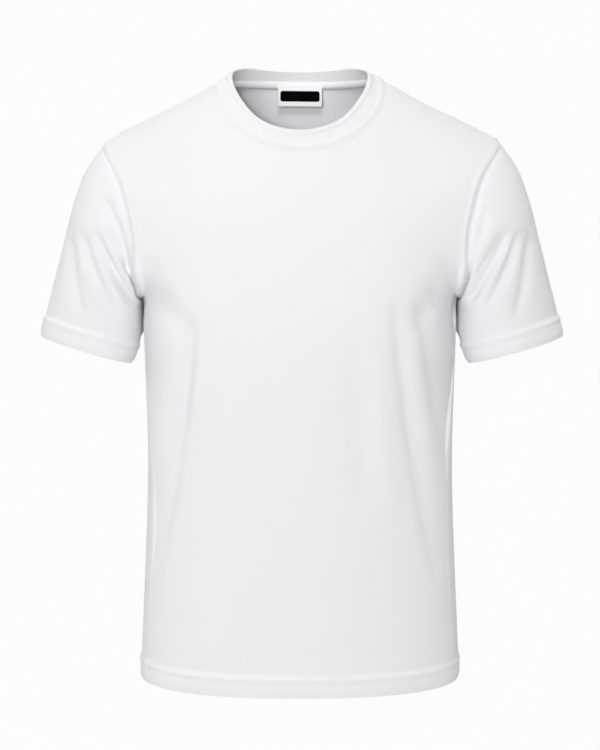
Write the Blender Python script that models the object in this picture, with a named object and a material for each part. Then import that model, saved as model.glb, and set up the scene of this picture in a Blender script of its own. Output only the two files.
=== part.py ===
"""Crew neck t-shirt, filled out and hollow, open at the neck, the hem and both cuffs.

+X is the wearer's left, -Y the front, +Z up. The origin lies midway between the two high
shoulder points, where the wearer carries the garment. Tables and sizes are in millimetres.

The body is a stack of closed loops, from the hem up to the neck seam. Each loop is seen from
above as an oval; towards the shoulders its front hangs lower than its sides. The front and the
back panel are the stretches of the loops between the seams, so their edges fit by construction.
The sleeves start on the armhole edges of the panels, and the neckband on their neck edges.
"""

import bpy
import numpy as np

MM = 0.001

# Cloth
JERSEY_WALL = 1.2
HEM_WALL = 2.0
RIB_WALL = 2.2
TAPE_WALL = 1.0
LABEL_WALL = 1.0
SEAM_GAP = 0.3

# Heights of the loops where the pieces change, measured on the sides
HEM_LEVEL = -709.0
UNDERARM_LEVEL = -258.0
SHOULDER_LEVEL = -76.0
NECK_LEVEL = 0.0

# Hems
BOTTOM_HEM = 25.0
CUFF_HEM = 22.0
HEM_STEP = 1.6

# Neckband, tape and label
BAND_FULLNESS = 0.8
TAPE_HALF_WIDTH = 5.0
TAPE_CLEARANCE = 0.4
LABEL_WIDTH = 57.0
LABEL_HEIGHT = 27.0
LABEL_CLEARANCE = 0.4
LABEL_LIFT = 1.6

# Grid of each piece
FRONT_COLUMNS = 36
BACK_COLUMNS = 28
EDGE_STRIP = 2.5
SLEEVE_EDGE_STRIP = 0.0125
HEM_ROWS = 4
BODY_ROWS = 13
YOKE_ROWS = 6
SLEEVE_ROWS = 9
LABEL_COLUMNS = 8
LABEL_ROWS = 5
LOOP_SAMPLES = 400

# The panels' rows are evened out this often, less and less over the columns next to a seam
EVENING_PASSES = 4
HELD_COLUMNS = 3

# Middle of the armhole, seen from the side
ARMHOLE_Y = -8.0
ARMHOLE_HALF_DEPTH = 74.0

# A sleeve's folds die out over these shares of its length at the armhole and at the cuff
FOLD_START = 0.1
FOLD_END = 0.3

# Past this angle between two pieces at a seam, each wall stands square to its own piece
CREASE_LIMIT = np.radians(35)
SHARP_EDGE = np.radians(50)

# A loop's height follows a soft ramp, level at the shoulder and steep at the front
RAMP_SOFTNESS = 0.3

LOOP_COLUMNS = (
    "level", "half_width", "widest_y", "front_y", "front_z", "back_y", "back_z", "side_power", "depth_power"
)
BODY_LOOPS = (
    (-709.0, 190.5, 0.0, -126.0, -714.0, 114.0, -714.0, 2.35, 2.35),
    (-630.0, 187.0, 0.0, -123.0, -633.0, 110.0, -633.0, 2.35, 2.35),
    (-535.0, 182.8, 0.0, -122.0, -537.0, 106.0, -536.0, 2.35, 2.35),
    (-450.0, 180.6, 0.0, -124.0, -451.0, 106.0, -450.0, 2.40, 2.40),
    (-380.0, 182.0, 0.0, -127.5, -381.0, 109.0, -380.0, 2.50, 2.50),
    (-320.0, 183.8, -2.0, -130.4, -323.0, 114.5, -321.0, 2.65, 2.65),
    (-285.0, 184.8, -4.0, -129.8, -290.0, 118.5, -286.0, 2.75, 2.75),
    (-258.0, 186.0, -8.0, -128.3, -267.0, 120.5, -260.0, 2.80, 2.80),
    (-250.0, 188.8, -8.0, -127.8, -262.0, 121.0, -252.0, 2.74, 2.62),
    (-240.0, 196.5, -8.0, -127.2, -256.0, 121.2, -243.0, 2.60, 2.34),
    (-225.0, 216.0, -8.0, -126.0, -247.0, 121.5, -229.0, 2.38, 2.04),
    (-200.0, 250.0, -8.0, -124.2, -233.0, 121.0, -205.0, 2.10, 1.76),
    (-167.0, 273.0, -8.0, -120.8, -214.0, 119.0, -173.0, 2.00, 1.62),
    (-130.0, 275.0, -8.0, -115.6, -190.0, 114.5, -138.0, 2.00, 1.62),
    (-105.0, 269.0, -8.0, -111.0, -172.0, 109.0, -114.0, 2.00, 1.68),
    (-88.0, 253.0, -8.0, -107.2, -159.0, 104.5, -97.0, 2.00, 1.84),
    (-76.0, 233.5, -9.0, -104.4, -150.0, 100.0, -85.0, 2.00, 1.98),
    (-60.0, 206.0, -10.0, -100.2, -137.0, 94.0, -68.0, 2.00, 2.00),
    (-40.0, 170.0, -13.0, -94.2, -121.0, 84.5, -46.0, 2.00, 2.00),
    (-20.0, 131.5, -17.0, -87.6, -104.0, 74.0, -25.0, 2.00, 2.00),
    (-8.0, 109.5, -20.0, -83.4, -93.5, 67.0, -12.0, 2.00, 2.00),
    (0.0, 95.0, -22.0, -80.0, -86.0, 62.0, -4.0, 2.00, 2.00),
)

# The band's free edge is an oval of its own, inside and above the neck seam
BAND_EDGE = dict(half_width=83.0, widest_y=-20.0, front_y=-73.5, back_y=53.0)
BAND_EDGE_COLUMNS = ("y", "z")
BAND_EDGE_HEIGHTS = (
    (-73.5, -64.5),
    (-63.7, -51.8),
    (-48.3, -28.5),
    (-20.0, 1.0),
    (0.0, 9.0),
    (30.0, 15.0),
    (45.0, 16.0),
    (53.0, 14.5),
)

# Where the side and the shoulder seam lie, front to back
SEAM_COLUMNS = ("level", "y")
SIDE_SEAM = (
    (-709.0, -52.0),
    (-560.0, -50.0),
    (-450.0, -46.0),
    (-350.0, -30.0),
    (-290.0, -14.0),
    (-258.0, -8.0),
)
SHOULDER_SEAM = (
    (-76.0, -8.0),
    (-64.0, -17.0),
    (-45.0, -24.0),
    (-20.0, -24.0),
    (0.0, -19.0),
)

# The armhole's two edges, from the shoulder down to the underarm point
ARMHOLE_COLUMNS = ("level", "front", "back")
ARMHOLE_EDGES = (
    (-76.0, -8.0, -8.0),
    (-77.6, -30.0, 6.0),
    (-82.0, -47.0, 22.0),
    (-91.0, -59.0, 37.0),
    (-106.0, -68.0, 50.0),
    (-128.0, -75.5, 60.0),
    (-156.0, -81.0, 65.0),
    (-185.0, -82.0, 65.0),
    (-211.0, -77.0, 60.0),
    (-232.0, -65.0, 50.0),
    (-247.0, -48.0, 34.0),
    (-255.5, -28.0, 13.0),
    (-258.0, -8.0, -8.0),
)

# Rings of a sleeve, each given by its outermost and innermost point, seen from the front
RING_COLUMNS = ("along", "outer_x", "outer_z", "inner_x", "inner_z", "y", "half_depth")
SLEEVE_RINGS = (
    (0.00, 233.5, -76.0, 185.5, -258.0, -8.0, 74.0),
    (0.12, 252.0, -99.0, 187.0, -265.0, -8.0, 76.0),
    (0.32, 268.5, -138.0, 188.0, -275.0, -8.0, 75.0),
    (0.55, 281.0, -185.0, 189.0, -288.0, -8.0, 71.0),
    (0.78, 295.0, -240.0, 190.5, -303.0, -7.0, 66.0),
    (0.91, 306.2, -282.0, 191.7, -316.0, -6.0, 62.5),
    (1.00, 312.0, -303.0, 194.0, -337.0, -6.0, 61.0),
)

# Folds: three points of a soft curve seen from the front, half width, height out of the cloth
FOLD_COLUMNS = ("x0", "z0", "x1", "z1", "x2", "z2", "half_width", "height")
FRONT_FOLDS = (
    (-106.0, -268.0, -124.0, -420.0, -170.0, -578.0, 12.0, 4.2),
    (-120.0, -276.0, -135.0, -415.0, -173.0, -570.0, 9.0, -4.5),
    (100.0, -274.0, 113.0, -420.0, 168.0, -600.0, 9.5, -5.0),
    (113.0, -270.0, 129.0, -385.0, 158.0, -490.0, 8.5, 4.0),
    (130.0, -276.0, 146.0, -372.0, 167.0, -492.0, 9.0, -4.2),
    (-95.0, -325.0, -112.0, -430.0, -130.0, -520.0, 15.0, 1.6),
    (-17.0, -375.0, -19.0, -430.0, -15.0, -480.0, 14.0, -1.2),
    (52.0, -300.0, 61.0, -395.0, 78.0, -510.0, 15.0, -2.2),
    (84.0, -300.0, 92.0, -400.0, 112.0, -510.0, 13.0, 2.0),
    (-150.0, -455.0, -158.0, -475.0, -166.0, -500.0, 8.0, 2.4),
    (181.0, -222.0, 160.0, -254.0, 131.0, -270.0, 10.0, -4.0),
    (184.0, -240.0, 168.0, -262.0, 146.0, -284.0, 9.0, 2.6),
    (147.0, -262.0, 156.0, -276.0, 170.0, -292.0, 7.0, -2.4),
    (-184.0, -222.0, -172.0, -242.0, -154.0, -254.0, 10.0, -3.0),
    (-170.0, -262.0, -150.0, -278.0, -130.0, -285.0, 9.0, -2.2),
    (-129.0, -286.0, -137.0, -300.0, -150.0, -314.0, 8.0, -1.8),
    (163.0, -200.0, 172.0, -205.0, 182.0, -214.0, 7.0, -1.6),
)
BACK_FOLDS = (
    (-112.0, -262.0, -122.0, -400.0, -160.0, -560.0, 11.0, -4.2),
    (-98.0, -258.0, -106.0, -390.0, -138.0, -520.0, 12.0, 3.4),
    (108.0, -258.0, 120.0, -410.0, 162.0, -580.0, 11.0, -4.6),
    (95.0, -262.0, 103.0, -380.0, 130.0, -500.0, 12.0, 3.2),
    (128.0, -268.0, 144.0, -380.0, 168.0, -480.0, 9.0, 3.0),
    (-20.0, -330.0, -26.0, -430.0, -38.0, -540.0, 16.0, -2.0),
    (36.0, -300.0, 42.0, -420.0, 60.0, -530.0, 15.0, -2.2),
    (178.0, -226.0, 158.0, -252.0, 130.0, -266.0, 10.0, -3.4),
    (-178.0, -226.0, -160.0, -250.0, -134.0, -268.0, 10.0, -3.4),
)
RIGHT_SLEEVE_FOLDS = (
    (-270.0, -182.0, -264.0, -225.0, -250.0, -288.0, 6.5, -2.4),
    (-252.0, -176.0, -243.0, -212.0, -218.0, -266.0, 7.0, -3.0),
    (-238.0, -176.0, -222.0, -214.0, -190.0, -258.0, 7.0, -3.2),
    (-224.0, -182.0, -212.0, -202.0, -197.0, -222.0, 6.0, -2.2),
    (-225.0, -140.0, -212.0, -158.0, -196.0, -206.0, 7.0, -2.0),
    (-261.0, -190.0, -253.0, -228.0, -234.0, -282.0, 6.5, 2.2),
    (-245.0, -178.0, -230.0, -214.0, -204.0, -262.0, 6.0, 2.0),
)
LEFT_SLEEVE_FOLDS = (
    (223.0, -150.0, 215.0, -168.0, 207.0, -184.0, 6.5, -1.8),
    (236.0, -170.0, 218.0, -196.0, 201.0, -222.0, 6.5, -2.6),
    (241.0, -180.0, 222.0, -214.0, 195.0, -256.0, 7.0, -3.2),
    (253.0, -180.0, 242.0, -216.0, 214.0, -272.0, 7.0, -3.0),
    (268.0, -188.0, 264.0, -228.0, 245.0, -290.0, 6.5, -2.4),
    (247.0, -180.0, 232.0, -214.0, 206.0, -264.0, 6.0, 2.0),
    (261.0, -186.0, 254.0, -222.0, 230.0, -282.0, 6.5, 2.2),
)
SLEEVE_BACK_FOLDS = (
    (262.0, -170.0, 250.0, -216.0, 222.0, -282.0, 8.0, -2.6),
    (240.0, -172.0, 222.0, -210.0, 196.0, -258.0, 8.0, -3.0),
    (251.0, -172.0, 236.0, -214.0, 208.0, -268.0, 7.0, 2.0),
)
FOLD_SAMPLES = 24
FOLD_TAPER = 0.22
FOLD_FADE = 16.0

COLLECTION_NAME = "Crew neck t-shirt"
CLOTH_FINISHES = {
    "white jersey": (0.90, 0.90, 0.92, 0.92),
    "white rib": (0.91, 0.91, 0.93, 0.90),
    "white tape": (0.86, 0.86, 0.88, 0.85),
    "woven label": (0.84, 0.84, 0.85, 0.60),
}


def columns(names, rows):
    """A table as one array for each named column."""
    return dict(zip(names, np.array(rows, float).T))


def smooth(at, stations, values):
    """Value at a place on the soft curve through the values at rising stations."""
    slopes = np.gradient(values, stations)
    at = np.clip(at, stations[0], stations[-1])
    i = np.clip(np.searchsorted(stations, at, side="right") - 1, 0, len(stations) - 2)
    step = stations[i + 1] - stations[i]
    t = (at - stations[i]) / step
    start = (1 + 2 * t) * (1 - t) ** 2 * values[i] + t * (1 - t) ** 2 * step * slopes[i]
    end = t**2 * (3 - 2 * t) * values[i + 1] + t**2 * (t - 1) * step * slopes[i + 1]
    return start + end


def ease(part):
    """0 to 1, level at both ends."""
    part = np.clip(part, 0, 1)
    return part * part * (3 - 2 * part)


def unit(vectors):
    return vectors / np.maximum(np.linalg.norm(vectors, axis=-1, keepdims=True), 1e-9)


def loop_at(level):
    """The sizes of the body's loop at a level."""
    table = columns(LOOP_COLUMNS, BODY_LOOPS)
    return {name: smooth(level, table["level"], table[name]) for name in LOOP_COLUMNS}


def ramp(part):
    """0 to 1, level at 0 and nearly straight from there on."""
    soft = np.sqrt(part**2 + RAMP_SOFTNESS**2) - RAMP_SOFTNESS
    return soft / (np.sqrt(1 + RAMP_SOFTNESS**2) - RAMP_SOFTNESS)


def on_oval(loop, angle, side_power=2.0, depth_power=2.0):
    """x and y on an oval seen from above, from angle 0 at centre front over +X to pi at centre back."""
    side, fore = np.sin(angle), np.cos(angle)
    depth = np.where(fore > 0, loop["widest_y"] - loop["front_y"], loop["back_y"] - loop["widest_y"])
    x = loop["half_width"] * np.sign(side) * np.abs(side) ** (2 / side_power)
    y = loop["widest_y"] - depth * np.sign(fore) * np.abs(fore) ** (2 / depth_power)
    return x, y


def on_loop(loop, angle):
    """Points of a body loop at the given angles."""
    x, y = on_oval(loop, angle, loop["side_power"], loop["depth_power"])
    end_y = np.where(y < 0, loop["front_y"], loop["back_y"])
    end_z = np.where(y < 0, loop["front_z"], loop["back_z"])
    z = loop["level"] + (end_z - loop["level"]) * ramp(y / end_y)
    return np.stack([x, y, z], axis=-1)


def angle_at(loop, y):
    """The angle on the +X half of a loop where it passes y."""
    angles = np.linspace(0, np.pi, LOOP_SAMPLES)
    return np.interp(y, on_loop(loop, angles)[:, 1], angles)


def even_angles(loop, start, end, count):
    """Angles from start to end: a narrow strip at each end, and equal lengths between."""
    angles = np.linspace(start, end, LOOP_SAMPLES)
    steps = np.linalg.norm(np.diff(on_loop(loop, angles), axis=0), axis=1)
    length = np.concatenate([[0], np.cumsum(steps)])
    inner = np.linspace(EDGE_STRIP, length[-1] - EDGE_STRIP, count + 1)
    return np.interp(np.concatenate([[0], inner, [length[-1]]]), length, angles)


def body_rows():
    """Level and front and back edge of each row, hem to neck, and the underarm and shoulder row."""
    hem = [HEM_LEVEL, HEM_LEVEL + BOTTOM_HEM / 2, HEM_LEVEL + BOTTOM_HEM - HEM_STEP, HEM_LEVEL + BOTTOM_HEM]
    side = np.linspace(hem[-1], UNDERARM_LEVEL, BODY_ROWS + 1)[1:]
    yoke = np.linspace(SHOULDER_LEVEL, NECK_LEVEL, YOKE_ROWS + 1)[1:]
    armhole = columns(ARMHOLE_COLUMNS, ARMHOLE_EDGES[-2::-1])
    seam = columns(SEAM_COLUMNS, SIDE_SEAM + SHOULDER_SEAM)
    below, above = np.concatenate([hem, side]), yoke
    below_y, above_y = (smooth(at, seam["level"], seam["y"]) for at in (below, above))
    levels = np.concatenate([below, armhole["level"], above])
    front = np.concatenate([below_y, armhole["front"], above_y])
    back = np.concatenate([below_y, armhole["back"], above_y])
    return list(zip(levels, front, back)), len(below) - 1, len(below) - 1 + len(armhole["level"])


def panel_rows(facing, count):
    """Grid of a panel's points: rows from hem to neck, columns in the order of the angle."""
    rows, underarm_row, shoulder_row = body_rows()
    even = np.linspace(UNDERARM_LEVEL, SHOULDER_LEVEL, shoulder_row - underarm_row + 1)
    grid = []
    for i, (level, front_y, back_y) in enumerate(rows):
        loop = loop_at(level)
        edge = angle_at(loop, front_y if facing < 0 else back_y)
        start, end = (-edge, edge) if facing < 0 else (edge, 2 * np.pi - edge)
        angles = even_angles(loop, start, end, count)
        middle = even[i - underarm_row] if underarm_row < i < shoulder_row else level
        off_centre = np.abs(2 * (angles - start) / (end - start) - 1)
        grid.append(on_loop(loop_at(middle + (level - middle) * ease(off_centre)), angles))
    return evened(np.array(grid))


def evened(grid):
    """The grid with each free row drawn towards the rows above and below it."""
    count = grid.shape[1]
    inward = np.minimum(np.arange(count), np.arange(count)[::-1])
    freedom = np.clip((inward - 1) / HELD_COLUMNS, 0, 1)[:, None]
    for _ in range(EVENING_PASSES):
        between = (grid[HEM_ROWS - 1 : -2] + grid[HEM_ROWS + 1 :]) / 2
        grid[HEM_ROWS:-1] += (between - grid[HEM_ROWS:-1]) * freedom / 2
    return grid


def fold_lift(points, folds):
    """How far a table of folds moves each point out of the cloth."""
    lift = np.zeros(points.shape[:-1])
    table = columns(FOLD_COLUMNS, folds)
    t = np.linspace(0, 1, FOLD_SAMPLES)
    for i in range(len(folds)):
        fold = {name: table[name][i] for name in FOLD_COLUMNS}
        x = (1 - t) ** 2 * fold["x0"] + 2 * t * (1 - t) * fold["x1"] + t**2 * fold["x2"]
        z = (1 - t) ** 2 * fold["z0"] + 2 * t * (1 - t) * fold["z1"] + t**2 * fold["z2"]
        near = np.hypot(points[..., 0, None] - x, points[..., 2, None] - z)
        place = t[near.argmin(axis=-1)]
        taper = ease(np.minimum(place, 1 - place) / FOLD_TAPER)
        lift += fold["height"] * taper * np.exp(-((near.min(axis=-1) / fold["half_width"]) ** 2))
    return lift


def edge_fade(grid):
    """0 on the outer columns of a grid and 1 well inside, so that folds die out at a seam."""
    across = np.linalg.norm(np.diff(grid, axis=1), axis=-1).cumsum(axis=1)
    along = np.concatenate([np.zeros((len(grid), 1)), across], axis=1)
    return ease(np.minimum(along, along[:, -1:] - along) / FOLD_FADE)


def grid_quads(rows, count, closed):
    """Corner numbers of a grid's faces; a closed grid joins its last column to its first."""
    quads = []
    for i in range(rows - 1):
        for j in range(count if closed else count - 1):
            k = (j + 1) % count
            quads.append((i * count + j, i * count + k, (i + 1) * count + k, (i + 1) * count + j))
    return quads


def face_normals(points, quads):
    corners = points[np.array(quads)]
    return np.cross(corners[:, 2] - corners[:, 0], corners[:, 3] - corners[:, 1])


def normal_sums(sheets):
    """Sum of the face normals round each point of the sheets, keyed by the point's place."""
    total = {}
    for points, closed in sheets:
        quads = grid_quads(*points.shape[:2], closed)
        flat = points.reshape(-1, 3)
        for quad, normal in zip(quads, face_normals(flat, quads)):
            for corner in quad:
                key = tuple(np.round(flat[corner], 3))
                total[key] = total.get(key, 0) + normal
    return total


def look_up(sums, points):
    keys = map(tuple, np.round(points.reshape(-1, 3), 3))
    return unit(np.array([sums[key] for key in keys])).reshape(points.shape)


def wall_normals(groups):
    """Outward normals of each group's sheets, the same on both sides of a seam.

    Where two groups meet in a sharp crease, as under the arm, each keeps its own.
    """
    every = normal_sums([sheet for group in groups for sheet in group])
    found = []
    for group in groups:
        own_sums = normal_sums(group)
        for points, _ in group:
            shared, own = look_up(every, points), look_up(own_sums, points)
            alike = (shared * own).sum(axis=-1, keepdims=True) > np.cos(CREASE_LIMIT)
            found.append(np.where(alike, shared, own))
    return found


def inset(points, closed):
    """Draws a sheet's edges back by half of the gap at a seam."""
    points = points.copy()
    sheet = points.copy()
    ends = [(0, 1), (-1, -2)]
    for edge, inner in ends:
        along = np.roll(sheet[edge], -1, axis=0) - np.roll(sheet[edge], 1, axis=0)
        if not closed:
            along[0] = sheet[edge][1] - sheet[edge][0]
            along[-1] = sheet[edge][-1] - sheet[edge][-2]
        points[edge] += drawn_back(sheet[inner] - sheet[edge], along)
    if not closed:
        for edge, inner in ends:
            along = np.gradient(sheet[:, edge], axis=0)
            across = sheet[:, inner] - sheet[:, edge]
            points[:, edge] += drawn_back(across + row_help(sheet, edge, inner), along)
    return points


def row_help(sheet, edge, inner):
    """Mean direction to the neighbours of an edge point one column further in."""
    above = np.roll(sheet[:, inner], -1, axis=0)
    below = np.roll(sheet[:, inner], 1, axis=0)
    above[-1], below[0] = sheet[-1, inner], sheet[0, inner]
    return (above + below) / 2 - sheet[:, edge]


def drawn_back(inward, along):
    along = unit(along)
    inward = inward - along * (inward * along).sum(axis=-1, keepdims=True)
    return unit(inward) * SEAM_GAP / 2


def add_wall(name, outer, inner, closed, finish):
    """One closed wall between an outer and an inner sheet, as an object."""
    rows, count = outer.shape[:2]
    total = rows * count
    skin = grid_quads(rows, count, closed)
    faces = list(skin)
    faces += [tuple(total + corner for corner in reversed(quad)) for quad in skin]
    for row, flip in ((0, False), (rows - 1, True)):
        for j in range(count if closed else count - 1):
            a, b = row * count + j, row * count + (j + 1) % count
            faces.append((a, b, b + total, a + total) if flip else (b, a, a + total, b + total))
    if not closed:
        for column, flip in ((0, True), (count - 1, False)):
            for i in range(rows - 1):
                a, b = i * count + column, (i + 1) * count + column
                faces.append((a, b, b + total, a + total) if flip else (b, a, a + total, b + total))
    points = np.concatenate([outer.reshape(-1, 3), inner.reshape(-1, 3)]) * MM
    mesh = bpy.data.meshes.new(name)
    mesh.from_pydata(points.tolist(), [], faces)
    mesh.validate()
    mesh.shade_smooth()
    mesh.set_sharp_from_angle(angle=SHARP_EDGE)
    mesh.materials.append(cloth(finish))
    piece = bpy.data.objects.new(name, mesh)
    bpy.data.collections[COLLECTION_NAME].objects.link(piece)
    return piece


def cloth(name):
    """The named finish as a material, made once."""
    found = bpy.data.materials.get(name)
    if found:
        return found
    red, green, blue, roughness = CLOTH_FINISHES[name]
    material = bpy.data.materials.new(name)
    material.use_nodes = True
    shader = material.node_tree.nodes["Principled BSDF"]
    shader.inputs["Base Color"].default_value = (red, green, blue, 1)
    shader.inputs["Roughness"].default_value = roughness
    shader.inputs["Metallic"].default_value = 0
    return material


def armhole_ring(front, back, side):
    """The armhole edge as a closed ring: from the shoulder down the front and up the back."""
    _, underarm_row, shoulder_row = body_rows()
    front_edge = front[underarm_row : shoulder_row + 1, -1 if side > 0 else 0]
    back_edge = back[underarm_row : shoulder_row + 1, 0 if side > 0 else -1]
    return np.concatenate([front_edge[::-1], back_edge[1:-1]])


def sleeve_rows(front, back, side):
    """Grid of a sleeve's points: rings from the armhole to the cuff."""
    armhole = armhole_ring(front, back, side)
    table = columns(RING_COLUMNS, SLEEVE_RINGS)
    angles = np.linspace(0, 2 * np.pi, len(armhole) + 1)[:-1]
    hem_line = table["along"][-2]
    hem_step = (1 - hem_line) * HEM_STEP / CUFF_HEM
    stations = [0, *np.linspace(SLEEVE_EDGE_STRIP, hem_line - hem_step, SLEEVE_ROWS + 1)]
    stations += [hem_line, (1 + hem_line) / 2, 1]
    rings = []
    for along in stations:
        ring = {name: smooth(along, table["along"], table[name]) for name in RING_COLUMNS}
        outer = np.array([ring["outer_x"] * side, ring["y"], ring["outer_z"]])
        inner = np.array([ring["inner_x"] * side, ring["y"], ring["inner_z"]])
        middle, half = (outer + inner) / 2, (outer - inner) / 2
        forward = np.array([0, -ring["half_depth"], 0])
        rings.append(middle + np.outer(np.cos(angles), half) + np.outer(np.sin(angles), forward))
    rings = np.array(rings)
    blend = (1 - np.array(stations)) ** 3
    return rings + (armhole - rings[0]) * blend[:, None, None]


def sleeve_lift(points, side):
    """Folds of a sleeve: the front and the back half have their own tables."""
    if side > 0:
        front_folds, back_points = LEFT_SLEEVE_FOLDS, points
    else:
        front_folds, back_points = RIGHT_SLEEVE_FOLDS, points * [-1, 1, 1]
    facing = np.clip(-(points[..., 1] - ARMHOLE_Y) / ARMHOLE_HALF_DEPTH * 2, -1, 1)
    front = np.maximum(facing, 0) * fold_lift(points, front_folds)
    back = np.maximum(-facing, 0) * fold_lift(back_points, SLEEVE_BACK_FOLDS)
    rows = np.linspace(0, 1, len(points))[:, None]
    fade = np.clip(np.minimum(rows / FOLD_START, (1 - rows) / FOLD_END), 0, 1)
    return (front + back) * fade


def band_rows(front, back):
    """Grid of the neckband's points: the neck seam, the fold's middle and its free edge."""
    seam = np.concatenate([front[-1, :-1], back[-1, :-1]])
    loop = loop_at(NECK_LEVEL)
    shoulder = angle_at(loop, SHOULDER_SEAM[-1][1])
    front_angles = even_angles(loop, -shoulder, shoulder, FRONT_COLUMNS)
    back_angles = even_angles(loop, shoulder, 2 * np.pi - shoulder, BACK_COLUMNS)
    x, y = on_oval(BAND_EDGE, np.concatenate([front_angles[:-1], back_angles[:-1]]))
    heights = columns(BAND_EDGE_COLUMNS, BAND_EDGE_HEIGHTS)
    edge = np.stack([x, y, smooth(y, heights["y"], heights["z"])], axis=-1)
    return np.array([seam, seam + (edge - seam) / 3, seam + (edge - seam) * 2 / 3, edge])


def band_lift(band):
    """The band's soft fullness between its seam and its free edge."""
    return np.broadcast_to(np.array([[0], [1], [1], [0]]) * BAND_FULLNESS, band.shape[:2])


def tape_rows(front, back, band, back_normals, band_normals):
    """Grid of the tape's points, on its side that faces the cloth, along the back neck seam."""
    first = front.shape[1]
    seam, below = back[-1, 1:-1], back[-2, 1:-1]
    above = band[1, first : first + len(seam)]
    down = unit(below - seam) * TAPE_HALF_WIDTH
    up = unit(above - seam) * TAPE_HALF_WIDTH
    normals = [back_normals[-2, 1:-1], back_normals[-1, 1:-1], band_normals[1, first : first + len(seam)]]
    depths = [RIB_WALL, RIB_WALL + TAPE_CLEARANCE, RIB_WALL + TAPE_CLEARANCE]
    centre = [seam + down, seam, seam + up]
    return np.array([at - normal * depth for at, normal, depth in zip(centre, normals, depths)])


def label_rows(tape, tape_normals):
    """Grid of the label's points: it hangs from the middle of the tape, along the back."""
    top = tape[1] - tape_normals[1] * (TAPE_WALL + LABEL_CLEARANCE)
    across = np.linspace(LABEL_WIDTH / 2, -LABEL_WIDTH / 2, LABEL_COLUMNS + 1)
    top_y = np.interp(-across, -top[:, 0], top[:, 1])
    top_z = np.interp(-across, -top[:, 0], top[:, 2])
    neck, lower = loop_at(NECK_LEVEL), loop_at(NECK_LEVEL - LABEL_HEIGHT)
    lean = lower["back_y"] - neck["back_y"] - LABEL_LIFT
    down = np.linspace(1, 0, LABEL_ROWS + 1)
    rows = [np.stack([across, top_y + part * lean, top_z - part * LABEL_HEIGHT], axis=-1) for part in down]
    return np.array(rows)


def hem_mask(rows, first, last):
    """1 on the given rows, which are a hem's, and 0 on the others."""
    mask = np.zeros((rows, 1, 1))
    mask[first:last] = 1
    return mask


def sheet_normals(sheets):
    """Wall normals of front, back, neckband and the two sleeves, in that order."""
    front, back, band, left, right = sheets
    body = [(front, False), (back, False), (band, True)]
    return wall_normals([body, [(left, True)], [(right, True)]])


def build():
    for leftover in list(bpy.data.objects):
        bpy.data.objects.remove(leftover, do_unlink=True)
    collection = bpy.data.collections.new(COLLECTION_NAME)
    bpy.context.scene.collection.children.link(collection)

    front = panel_rows(-1, FRONT_COLUMNS)
    back = panel_rows(1, BACK_COLUMNS)
    left = sleeve_rows(front, back, 1)
    right = sleeve_rows(front, back, -1)[:, ::-1]
    band = band_rows(front, back)
    closed = (False, False, True, True, True)
    sheets = [front, back, band, left, right]

    normals = sheet_normals(sheets)
    lifts = (
        fold_lift(front, FRONT_FOLDS) * edge_fade(front),
        fold_lift(back, BACK_FOLDS) * edge_fade(back),
        band_lift(band),
        sleeve_lift(left, 1),
        sleeve_lift(right, -1),
    )
    sheets = [sheet + normal * lift[..., None] for sheet, normal, lift in zip(sheets, normals, lifts)]
    normals = sheet_normals(sheets)

    names = ("front", "back", "neckband", "sleeve_left", "sleeve_right")
    walls = (JERSEY_WALL, JERSEY_WALL, RIB_WALL, JERSEY_WALL, JERSEY_WALL)
    finishes = ("white jersey", "white jersey", "white rib", "white jersey", "white jersey")
    hems = (
        hem_mask(len(front), 0, 3),
        hem_mask(len(back), 0, 3),
        hem_mask(len(band), 0, 0),
        hem_mask(len(left), -3, None),
        hem_mask(len(right), -3, None),
    )
    for name, sheet, normal, wall, is_closed, finish, hem in zip(
        names, sheets, normals, walls, closed, finishes, hems
    ):
        sheet = inset(sheet, is_closed)
        outer = sheet + normal * hem * (HEM_WALL - JERSEY_WALL)
        add_wall(name, outer, sheet - normal * wall, is_closed, finish)

    tape = tape_rows(*sheets[:3], *normals[1:3])
    tape_normals = wall_normals([[(tape, False)]])[0]
    add_wall("neck_tape", tape, tape - tape_normals * TAPE_WALL, False, "white tape")
    label = label_rows(tape, tape_normals)
    label_normals = wall_normals([[(label, False)]])[0]
    add_wall("label", label, label - label_normals * LABEL_WALL, False, "woven label")


build()
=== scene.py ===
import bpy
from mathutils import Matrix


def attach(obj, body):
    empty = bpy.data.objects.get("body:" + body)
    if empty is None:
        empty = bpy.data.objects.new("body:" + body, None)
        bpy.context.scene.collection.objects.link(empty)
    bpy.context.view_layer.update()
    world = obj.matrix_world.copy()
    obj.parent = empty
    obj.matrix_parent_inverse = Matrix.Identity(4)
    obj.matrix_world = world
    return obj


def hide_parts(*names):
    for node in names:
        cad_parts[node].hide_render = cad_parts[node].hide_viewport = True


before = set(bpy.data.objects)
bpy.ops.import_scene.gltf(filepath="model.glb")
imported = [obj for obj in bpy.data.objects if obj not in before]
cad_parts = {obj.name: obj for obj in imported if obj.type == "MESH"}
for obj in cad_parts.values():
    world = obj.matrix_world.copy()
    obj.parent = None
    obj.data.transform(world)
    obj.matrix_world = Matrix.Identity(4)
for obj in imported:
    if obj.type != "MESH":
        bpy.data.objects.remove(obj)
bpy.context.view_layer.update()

import bmesh
import bpy
import numpy as np
from mathutils import Matrix, Vector

# White crew neck t-shirt, filled out. +X is the wearer's left, -Y the front, +Z up.
# Tables and sizes are in millimetres; meshes are made in metres.
mm = 0.001
scene = bpy.context.scene
joinDistance = 1e-6  # points of a closed sheet that lie nearer than this are one

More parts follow.
